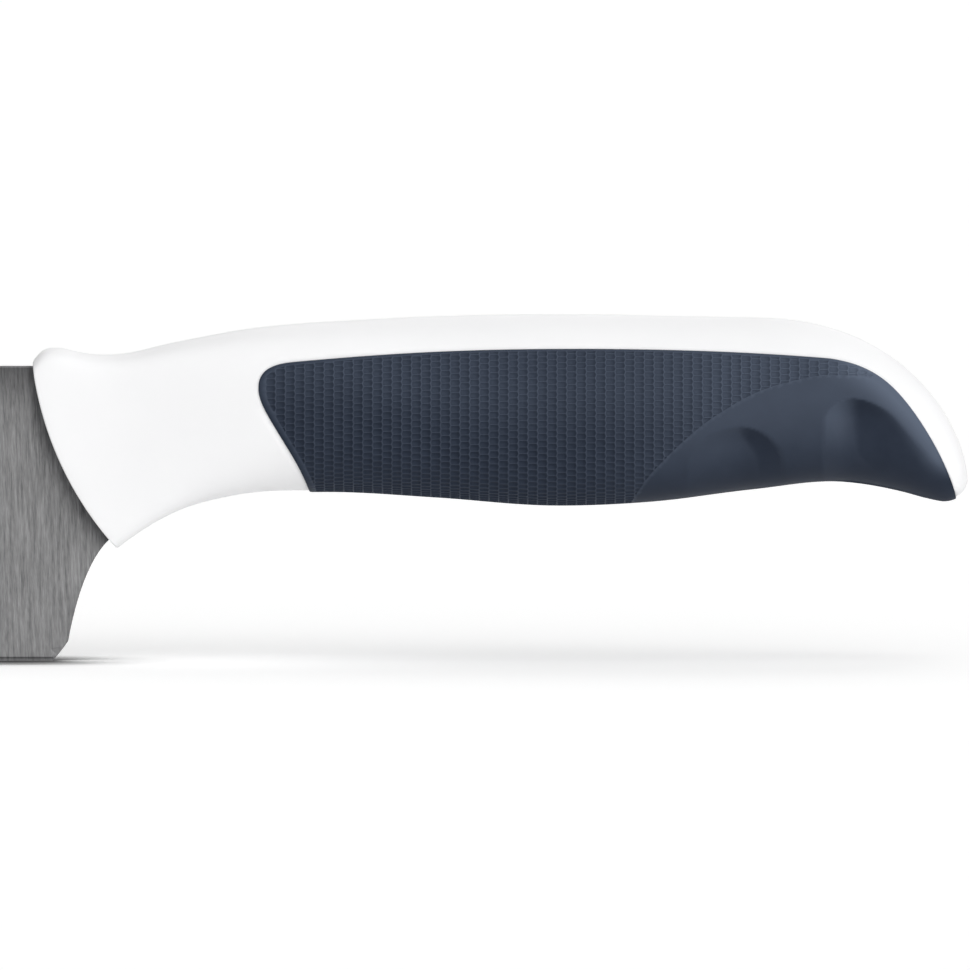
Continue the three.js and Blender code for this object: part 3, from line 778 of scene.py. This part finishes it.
def grip_underside(edge):
    """The face of the grip that lies on the hard handle."""
    sheet = Sheet()
    sheet.add_line(edge, 0.0, closed=True)
    sheet.add_points(field_inside(GRIP_LOOP, UNDER_SPACING, UNDER_CLEAR), 0.0)
    points, _, _, faces = sheet.filled()
    return on_skin(points[:, 0], near_side(points[:, 1]), np.full(len(points), -GRIP_WALL)), faces


def grip_piece():
    chart, heights, tones, faces = grip_chart()
    side = near_side(chart[:, 1])
    flat = on_skin(chart[:, 0], side, np.zeros(len(chart)))
    outside = scooped(on_skin(chart[:, 0], side, heights), flat)
    edge = inset(GRIP_LOOP, RIM_PROFILE[0][0])
    points, faces = joined([(outside, faces), grip_wall(edge), grip_underside(edge)])
    hidden = np.zeros(len(points) - len(tones))
    all_tones = np.concatenate([tones - grip_shade(chart, flat), hidden])
    return mesh_piece("soft_grip_skin", points, all_tones, faces, "soft_grip")


# Hard handle

def to_back(chart):
    """The same places with the way round measured from the back instead of the belly."""
    s = chart[:, 1]
    turned = np.where(s < 0, -1, 1) * (girth_at(chart[:, 0]) - np.abs(s))
    return np.stack([chart[:, 0], turned], axis=1)


def front_outline():
    """The edge of the handle's front in the near side's chart, from its top to its lower corner."""
    line = front_edge(FRONT_POINTS)
    way_round = round_of(line[:, 0], line[:, 1])
    way_round[0] = girth_at(line[:1, 0])[0]
    way_round[-1] = 0
    return respaced(np.stack([line[:, 0], way_round], axis=1), FRONT_SPACING)


def body_loop(front_line):
    """Bounds of the skin in the chart measured from the back: front, belly, rear cap and belly."""
    start = front_line[-1, 0]
    rounding = start + FRONT_ROUND * np.array(FRONT_RINGS)
    insets = np.array(SEAT_PROFILE)[:, 0]
    seat = np.concatenate([NEAR_SEAM[0, 0] + insets, NEAR_SEAM[-1, 0] - insets])
    even = np.linspace(start, POLE_U[0], BELLY_POINTS)
    even = even[(even == start) | (even > rounding[-1] + FRONT_CLEAR)]
    along = np.sort(np.concatenate([even, rounding, seat]))
    belly = np.stack([along, girth_at(along)], axis=1)
    end = np.stack([np.full(POLE_STEPS, POLE_U[0]), POLE_ROUND * belly[-1, 1]], axis=1)
    return np.concatenate([front_line, belly[1:], end[1:-1], belly[:0:-1] * [1, -1]])


def body_chart(front_line):
    """The skin in the chart measured from the back, with its rounded front and the grip's seat."""
    loop = body_loop(front_line)
    sheet = Sheet()
    sheet.add_line(loop, 0.0, closed=True)
    for share in FRONT_RINGS:
        moved = inset(loop, share * FRONT_ROUND)[1:len(front_line) - 1]
        sheet.add_points(moved[in_loop(loop, moved)], 0.0)
    for distance, _ in SEAT_PROFILE:
        ring = inset(GRIP_LOOP, distance)
        for side in (1, -1):
            sheet.add_line(to_back(ring[ring[:, 1] * side > MIDDLE_CLEAR]), 0.0)
    inner = field_inside(loop, BODY_SPACING, BODY_CLEAR)
    seam_line = to_back(NEAR_SEAM)
    gaps = [distance_to(seam_line, inner * [1, side])[0] for side in (1, -1)]
    sheet.add_points(inner[np.minimum(*gaps) > SEAM_CLEAR], 0.0)
    points, _, _, faces = sheet.filled()
    return points, faces


def body_skin(front_line):
    """The handle's skin ahead of its rear cap, rounded at its front and sunk under the grip."""
    points, faces = body_chart(front_line)
    u, turned = points.T
    s = np.where(turned < 0, -1, 1) * np.maximum(girth_at(u) - np.abs(turned), 0)
    chart = np.stack([u, s], axis=1)
    sunk = np.interp(distance_to(CLOSED_SEAM, chart)[0], *np.array(SEAT_PROFILE).T)
    heights = np.where(in_loop(GRIP_LOOP, chart), sunk, 0.0)
    ahead = np.minimum(distance_to(front_line, points)[0], FRONT_ROUND)
    heights -= FRONT_ROUND - np.sqrt(FRONT_ROUND ** 2 - (FRONT_ROUND - ahead) ** 2)
    side = np.where(s == 0, np.where(turned < 0, -NUDGE, NUDGE), s)
    skin = on_skin(u, side, heights)
    skin[np.minimum(np.abs(s), np.abs(turned)) < ON_LINE, 1] = 0
    return skin, faces


def rear_cap():
    """Rings of points round the handle's rearmost point, and that point."""
    side = np.where(POLE_ROUND < 0, -1, 1) * np.maximum(1 - np.abs(POLE_ROUND), NUDGE)
    on_middle = np.minimum(np.abs(POLE_ROUND), 1 - np.abs(POLE_ROUND)) < ON_LINE
    u = np.repeat(POLE_U, POLE_STEPS)
    rings = on_skin(u, np.tile(side, POLE_RINGS) * girth_at(u), np.zeros(len(u)))
    rings[np.tile(on_middle, POLE_RINGS), 1] = 0
    pole = len(rings)
    faces = []
    for start in range(0, pole, POLE_STEPS):
        for i in range(start, start + POLE_STEPS - 1):
            behind = i + POLE_STEPS
            faces.append((i, i + 1, behind + 1, behind) if behind < pole else (i, i + 1, pole))
    return np.concatenate([rings, [[HANDLE_LENGTH, 0, BEAK]]]), faces


def front_face(near_front):
    """The handle's front inside its rounded edge."""
    depths = np.full(len(near_front), -FRONT_ROUND)
    rim = on_skin(near_front[:, 0], near_front[:, 1] + NUDGE, depths)
    rim[[0, -1], 1] = 0
    rim = np.concatenate([rim, rim[-2:0:-1] * [1, -1, 1]])
    sheet = Sheet()
    sheet.add_line(rim[:, 1:], rim[:, 0], closed=True)
    inner = field_inside(rim[:, 1:], FACE_SPACING, FACE_CLEAR)
    order = rim[:, 2].argsort()
    sheet.add_points(inner, np.interp(inner[:, 1], rim[order, 2], rim[order, 0]))
    points, x, _, faces = sheet.filled()
    return np.column_stack([x, points]), faces


def body_piece():
    near_front = front_outline()
    turned = to_back(near_front)
    front_line = np.concatenate([turned[::-1] * [1, -1], turned[1:]])
    points, faces = joined([body_skin(front_line), rear_cap(), front_face(near_front)])
    return mesh_piece("handle_shell", points, np.zeros(len(points)), faces, "handle_body")


# Blade

def blade_lines(x):
    """Levels of the edge and the spine at each x."""
    edge_share = np.clip((EDGE_CURVE_LENGTH - BLADE_LENGTH - x) / EDGE_CURVE_LENGTH, 0, 1)
    spine_share = np.clip((SPINE_CURVE_LENGTH - BLADE_LENGTH - x) / SPINE_CURVE_LENGTH, 0, 1)
    edge = TIP_HEIGHT * edge_share ** EDGE_SWEEP
    spine = BLADE_HEIGHT - (BLADE_HEIGHT - TIP_HEIGHT) * spine_share ** SPINE_SWEEP
    return edge, spine


def blade_half(places):
    """Half the blade's thickness at places of the side view, and their distance ahead of the handle."""
    x, z = places.T
    edge, spine = blade_lines(x)
    bevel = np.maximum(np.minimum(BEVEL_HEIGHT, (spine - edge) / 2), ON_LINE)
    thin = BEVEL_THICKNESS / 2 * bevel / BEVEL_HEIGHT
    up = z - edge
    flank = np.where(up < bevel, thin * np.maximum(up, 0) / bevel, thin + FLANK_TAPER / 2 * (up - bevel))
    line = front_edge(PLUNGE_POINTS)
    tangent = np.diff(line, axis=0)[[0, -1]] * PLUNGE_EXTENSION
    line = np.concatenate([line[:1] - tangent[:1], line, line[-1:] + tangent[1:]])
    gap, foot = distance_to(line, places)
    ahead = np.where(x < foot[:, 0], gap, -gap)
    run = np.sqrt(2 * PLUNGE_RADIUS * np.maximum(STOCK_THICKNESS / 2 - flank, 0))
    hollow = np.maximum(run - ahead, 0) ** 2 / (2 * PLUNGE_RADIUS)
    return np.minimum(flank + hollow, STOCK_THICKNESS / 2), ahead


def heel_line():
    """The back of the heel, from the end of the edge up into the handle."""
    start = np.array([HEEL_SETBACK - HEEL_CORNER_LENGTH, 0])
    corner = np.array([HEEL_SETBACK, HEEL_CORNER_HEIGHT])
    square = np.array([HEEL_SETBACK, 0])
    bend = (start + corner) / 2 * (1 - HEEL_BEND) + square * HEEL_BEND
    join = front_edge(HEEL_STEPS + 1)[round(HEEL_JOIN * HEEL_STEPS)]
    rise_height = join[1] - HEEL_CORNER_HEIGHT
    leaning = HEEL_EASE * rise_height * np.array([math.cos(HEEL_LEAN), math.sin(HEEL_LEAN)])
    foot = HEEL_FOOT_EASE * rise_height * np.array([math.cos(HEEL_FOOT_LEAN), math.sin(HEEL_FOOT_LEAN)])
    rise = bezier([corner, corner + foot, join - leaning, join], CURVE_POINTS)
    shoulder = np.array([SHOULDER_DEPTH, AXIS_LEVEL - TANG_HEIGHT / 2])
    hidden = bezier([join, join + leaning, shoulder], BEND_POINTS)
    return np.concatenate([bezier([start, bend, corner], BEND_POINTS)[:-1], rise[:-1], hidden])


def blade_outline():
    """The blade's outline from its tip, the count of its points on the edge, and lines inside with tones of
    painted shade.
    """
    tip_x = -BLADE_LENGTH + np.linspace(0, 1, TIP_POINTS) ** TIP_CROWDING * TIP_LENGTH
    edge_end = HEEL_SETBACK - HEEL_CORNER_LENGTH
    edge_x = np.concatenate([tip_x, np.linspace(tip_x[-1], edge_end, STRAIGHT_POINTS)[1:]])
    spine_x = np.concatenate([tip_x, np.linspace(tip_x[-1], SHOULDER_DEPTH, STRAIGHT_POINTS)[1:]])
    edge, spine_over = blade_lines(edge_x)
    edge_under, spine = blade_lines(spine_x)
    bevel = edge + np.minimum(BEVEL_HEIGHT, (spine_over - edge) / 2)
    chamfer = spine - np.minimum(SPINE_CHAMFER, (spine - edge_under) / 4)
    edge_line = np.stack([edge_x, edge], axis=1)
    spine_line = np.stack([spine_x, spine], axis=1)
    heel = respaced(heel_line(), HEEL_SPACING)
    rear_levels = np.linspace(heel[-1, 1], BLADE_HEIGHT, REAR_POINTS)
    rear = np.stack([np.full(REAR_POINTS, SHOULDER_DEPTH), rear_levels], axis=1)
    outline = np.concatenate([edge_line[:-1], heel[:-1], rear[:-1], spine_line[:0:-1]])
    count = len(edge_line)
    inner = inset(outline[::-1], SPINE_CHAMFER)[::-1]
    bevel_line = np.stack([edge_x, bevel], axis=1)[TIP_SKIP:]
    chamfer_line = np.stack([spine_x, chamfer], axis=1)[TIP_SKIP:-1]
    heel_inner = inner[count + HEEL_SKIPS[0]:count + len(heel) - HEEL_SKIPS[1]]
    # A painted dark line of shade runs along the top of the bevel, ended by a line of no tone just above it
    above_bevel = bevel_line[TIP_SKIP:] + [0, BEVEL_LINE]
    return outline, count, [(bevel_line, 1), (above_bevel, 0), (chamfer_line, 0), (heel_inner, 0)]


def flank_points(outline):
    """Points inside the blade's outline, sparse on the flat flank and dense where the grind runs out."""
    corner = np.array([SHOULDER_DEPTH, BLADE_HEIGHT])
    sparse = field([-BLADE_LENGTH, 0], corner, FLANK_SPACING)
    sparse = sparse[blade_half(sparse)[1] > FLANK_AHEAD]
    dense = field([PLUNGE_START, 0], corner, PLUNGE_SPACING)
    ahead = blade_half(dense)[1]
    dense = dense[(ahead < PLUNGE_AHEAD) & (ahead > -PLUNGE_BEHIND)]
    points = np.concatenate([sparse, dense])
    points = points[in_loop(outline, points)]
    edge, spine = blade_lines(points[:, 0])
    points = points[(points[:, 1] > edge + EDGE_CLEAR) & (points[:, 1] < spine - SPINE_CLEAR)]
    return points[distance_to(np.concatenate([outline, outline[:1]]), points)[0] > OUTLINE_CLEAR]


def blade_piece():
    outline, edge_count, lines = blade_outline()
    is_edge = np.arange(len(outline)) < edge_count
    spine_half = np.maximum(blade_half(outline)[0] - CHAMFER_DEPTH, EDGE_HALF)
    rim = np.where(is_edge, EDGE_HALF, spine_half)
    sheet = Sheet()
    sheet.add_line(outline, rim, closed=True)
    for line, shade in lines:
        sheet.add_line(line, blade_half(line)[0], shade)
    inner = flank_points(outline)
    sheet.add_points(inner, blade_half(inner)[0])
    places, halves, shades, faces = sheet.filled()
    near = np.stack([places[:, 0], -halves, places[:, 1]], axis=1)
    near_rim = np.stack([outline[:, 0], -rim, outline[:, 1]], axis=1)
    rims = np.concatenate([near_rim, near_rim * [1, -1, 1]])
    sides = [(near, faces), (near * [1, -1, 1], faces[:, ::-1])]
    points, faces = joined([*sides, (rims, band(len(outline)))])
    ahead = blade_half(points[:, [0, 2]])[1]
    shades = np.concatenate([shades, shades, np.zeros(len(rims))])
    # The tones are painted shade: on the steel next to the handle and along the top of the bevel
    tones = np.maximum(ease(1 - ahead / PLUNGE_SHADE), shades)
    return mesh_piece("ground_blade", points, tones, faces, "blade", CREASE)


# Materials, with the darkest and the lightest colour of each

GROUND_STEEL = [(0.127, 0.127, 0.129), (0.275, 0.275, 0.277)]
PAINTED_SHADE_STEEL = [(0.034, 0.034, 0.036), (0.1, 0.1, 0.103)]
WHITE_PLASTIC = [(0.87, 0.87, 0.878), (0.9, 0.9, 0.905)]
GRIP_RUBBER = [(0.0125, 0.0184, 0.0325), (0.093, 0.115, 0.159)]
DARKEST_TONE = -1.6  # of the grip
LIGHTEST_TONE = 3
SPINE_REFLECTION_START = 34  # level from which painted dark reflection streaks hang towards the spine
SPINE_REFLECTION_END = 41.5


def feed(tree, node, inputs):
    """Gives inputs of a node, by name or number, a value or the output that feeds them."""
    for key, value in inputs.items():
        if isinstance(value, bpy.types.NodeSocket):
            tree.links.new(value, node.inputs[key])
        else:
            node.inputs[key].default_value = value


def node_maker(tree):
    """A function that adds a node to the tree and returns one of its outputs."""

    def node(kind, *numbered, output=0, **settings):
        """Settings in lower case are the node's own. Others, and the numbered values, are its inputs."""
        made = tree.nodes.new("ShaderNode" + kind)
        inputs = dict(enumerate(numbered))
        for key, value in settings.items():
            if key[0].islower():
                setattr(made, key, value)
            else:
                inputs[key.replace("_", " ")] = value
        feed(tree, made, inputs)
        return made.outputs[output]

    return node


def new_material(name):
    """A material, its shader's tree, and a function that adds nodes to it."""
    material = bpy.data.materials.new(name)
    material.use_nodes = True
    return material, material.node_tree, node_maker(material.node_tree)


def ramp(node, value, colours):
    """A colour from the darkest at 0 to the lightest at 1."""
    made = node("ValToRGB", value)
    for stop, colour in zip(made.node.color_ramp.elements, colours):
        stop.color = (*colour, 1)
    return made


def grained(node, rough_from, smoothest, roughest, grain, strength, distance):
    """Inputs of a shader for a roughness that varies and a fine grain."""
    rough = node("MapRange", Value=rough_from, To_Min=smoothest, To_Max=roughest)
    bump = node("Bump", Height=grain, Strength=strength, Distance=distance)
    return {"Roughness": rough, "Normal": bump}


def steel_material():
    material, tree, node = new_material("brushed_steel")
    place = node("TexCoord", output="Object")
    leaning = node("Mapping", Vector=place, Rotation=(0, BRUSH_LEAN, 0))
    fine = node("Mapping", Vector=leaning, Scale=(7600, 400, 640))
    grain = node("TexNoise", Vector=fine, Scale=1.0, Detail=3.0, Roughness=0.6)
    broad = node("Mapping", Vector=leaning, Scale=(2100, 200, 130))
    streaks = node("TexNoise", Vector=broad, Scale=1.0, Detail=2.0)
    brushing = node("Math", grain, streaks, operation="ADD")
    tone = node("MapRange", Value=brushing, From_Min=0.7, From_Max=1.3)
    # Painted dark reflection streaks hang from the spine, and painted shade darkens the grind where it runs
    # out at the handle and along the top of the bevel
    levels = {"From_Min": SPINE_REFLECTION_START * MM, "From_Max": SPINE_REFLECTION_END * MM}
    level = node("SeparateXYZ", place, output="Z")
    spine = node("MapRange", Value=level, To_Min=-0.35, To_Max=0.6, **levels)
    half_streaks = node("Math", streaks, 0.5, operation="MULTIPLY")
    painted_spine_reflection = node("Math", spine, half_streaks, operation="ADD", use_clamp=True)
    painted_shade_tone = node("Attribute", attribute_name="tone", output="Fac")
    painted_darkening = node("Math", painted_spine_reflection, painted_shade_tone, operation="MAXIMUM")
    ground = ramp(node, tone, GROUND_STEEL)
    painted_shade_colour = ramp(node, tone, PAINTED_SHADE_STEEL)
    colour = node("Mix", data_type="RGBA", Factor=painted_darkening, A=ground, B=painted_shade_colour, output="Result")
    inputs = grained(node, grain, 0.34, 0.5, grain, 0.25, 0.00003)
    inputs |= {"Base Color": colour, "Metallic": 1, "Anisotropic": 0.4}
    feed(tree, tree.nodes["Principled BSDF"], inputs)
    return material


def white_material():
    material, tree, node = new_material("white_plastic")
    place = node("TexCoord", output="Object")
    cloud = node("TexNoise", Vector=place, Scale=120.0, Detail=3.0)
    grain = node("TexNoise", Vector=place, Scale=6500.0, Detail=2.0)
    inputs = grained(node, cloud, 0.36, 0.5, grain, 0.12, 0.00002)
    inputs |= {"Base Color": ramp(node, cloud, WHITE_PLASTIC), "Specular IOR Level": 0.15}
    feed(tree, tree.nodes["Principled BSDF"], inputs)
    return material


def rubber_material():
    material, tree, node = new_material("grip_rubber")
    place = node("TexCoord", output="Object")
    cloud = node("TexNoise", Vector=place, Scale=260.0, Detail=4.0)
    grain = node("TexNoise", Vector=place, Scale=9000.0, Detail=3.0)
    # The tone attribute is mostly painted light and shade: lit ridges, shaded cells and rim, shaded belly
    # and scoop walls, and a painted highlight along the rear edge
    tone_with_painted_light = node("Attribute", attribute_name="tone", output="Fac")
    level = node("MapRange", Value=tone_with_painted_light, From_Min=DARKEST_TONE, From_Max=LIGHTEST_TONE)
    mottle = node("MapRange", Value=cloud, To_Min=-0.07, To_Max=0.07)
    tone = node("Math", level, mottle, operation="ADD")
    inputs = grained(node, cloud, 0.55, 0.75, grain, 0.3, 0.00002)
    inputs |= {"Base Color": ramp(node, tone, GRIP_RUBBER), "Specular IOR Level": 0.12}
    feed(tree, tree.nodes["Principled BSDF"], inputs)
    return material


# Studio

WHITE = (1, 1, 1, 1)
PAPER = (0.92, 0.92, 0.92, 1)
AMBIENT = 0.03
FLOOR_SIZE = 12
FLOOR_GLOW = 0.254  # makes the open floor white under the lamps
TABLE_GLOW = 0.15  # of the floor as it lights the knife
# Shade of the floor close to the knife: how open the floor is there, and its grey
CONTACT_REACH = 0.0155
CONTACT_SHADE = [(0.5, 0.03), (0.76, 0.2), (0.9, 0.5), (0.97, 0.78), (1, 1)]


def seen(node):
    """A value that is 1 for what the camera, a gloss or a clear surface sees of the background."""
    value = node("LightPath", output="Is Camera Ray")
    for ray in ("Is Glossy Ray", "Is Transmission Ray"):
        value = node("Math", value, node("LightPath", output=ray), operation="MAXIMUM")
    return value


def contact_shade(node):
    """The floor's colour, darker close to the knife. Metal reflects the open floor without that shade."""
    openness = node("AmbientOcclusion", Distance=CONTACT_REACH, output="AO")
    grey = node("ValToRGB", openness)
    stops = grey.node.color_ramp.elements
    for place, _ in CONTACT_SHADE[1:-1]:
        stops.new(place)
    for stop, (place, level) in zip(stops, CONTACT_SHADE):
        stop.position = place
        stop.color = (level, level, level, 1)
    from_camera = node("LightPath", output="Is Camera Ray")
    return node("Mix", data_type="RGBA", Factor=from_camera, A=WHITE, B=grey, output="Result")


def white_floor():
    bpy.ops.mesh.primitive_plane_add(size=FLOOR_SIZE)
    floor = bpy.context.object
    floor.name = "floor"
    material, tree, node = new_material("floor_white")
    tree.nodes.remove(tree.nodes["Principled BSDF"])
    colour = contact_shade(node)
    glow = node("Emission", Color=colour, Strength=FLOOR_GLOW)
    shown = node("AddShader", glow, node("BsdfDiffuse", Color=colour))
    bounce = node("AddShader", node("Emission", Strength=TABLE_GLOW), node("BsdfDiffuse", Color=PAPER))
    both = node("MixShader", seen(node), bounce, shown)
    feed(tree, tree.nodes["Material Output"], {"Surface": both})
    floor.data.materials.append(material)


def white_world():
    world = bpy.data.worlds.new("studio")
    bpy.context.scene.world = world
    world.use_nodes = True
    tree = world.node_tree
    node = node_maker(tree)
    strength = node("MapRange", Value=seen(node), To_Min=AMBIENT, To_Max=1)
    feed(tree, tree.nodes["Background"], {"Color": WHITE, "Strength": strength})


def soft_light(name, towards, width, strength):
    """A far lamp, seen under an angle of width from the knife, in the given direction."""
    data = bpy.data.lights.new(name, "SUN")
    data.angle = math.radians(width)
    data.energy = strength
    lamp = bpy.data.objects.new(name, data)
    lamp.rotation_mode = "QUATERNION"
    lamp.rotation_quaternion = Vector(towards).to_track_quat("Z", "Y")
    lamp.location = PICTURE_CENTRE + Vector(towards).normalized()
    bpy.context.scene.collection.objects.link(lamp)
    return lamp


def picture_camera():
    data = bpy.data.cameras.new("camera")
    data.lens = LENS
    data.sensor_width = SENSOR
    data.clip_end = VIEW_LENGTH
    camera = bpy.data.objects.new("camera", data)
    distance = FRAME_PIXELS * PIXEL * LENS / SENSOR
    back = Vector((0, -math.cos(ELEVATION), math.sin(ELEVATION)))
    camera.location = PICTURE_CENTRE + back * distance
    camera.rotation_mode = "QUATERNION"
    camera.rotation_quaternion = (-back).to_track_quat("-Z", "Y")
    bpy.context.scene.collection.objects.link(camera)
    bpy.context.scene.camera = camera


picture_camera()
blade_piece().data.materials.append(steel_material())
body_piece().data.materials.append(white_material())
grip_piece().data.materials.append(rubber_material())
white_floor()
white_world()
soft_light("rake", (1, -0.6, 0.2), 40, 1.51)
soft_light("front", (-0.1, -1, 0.1), 60, 0.68).visible_glossy = False
soft_light("high", (0.1, -0.75, 0.66), 70, 1.3)
soft_light("top", (0, 0, 1), 45, 0.5)
soft_light("back", (0, 0.7, 0.7), 50, 0.78)
bpy.context.scene.view_settings.view_transform = "Standard"
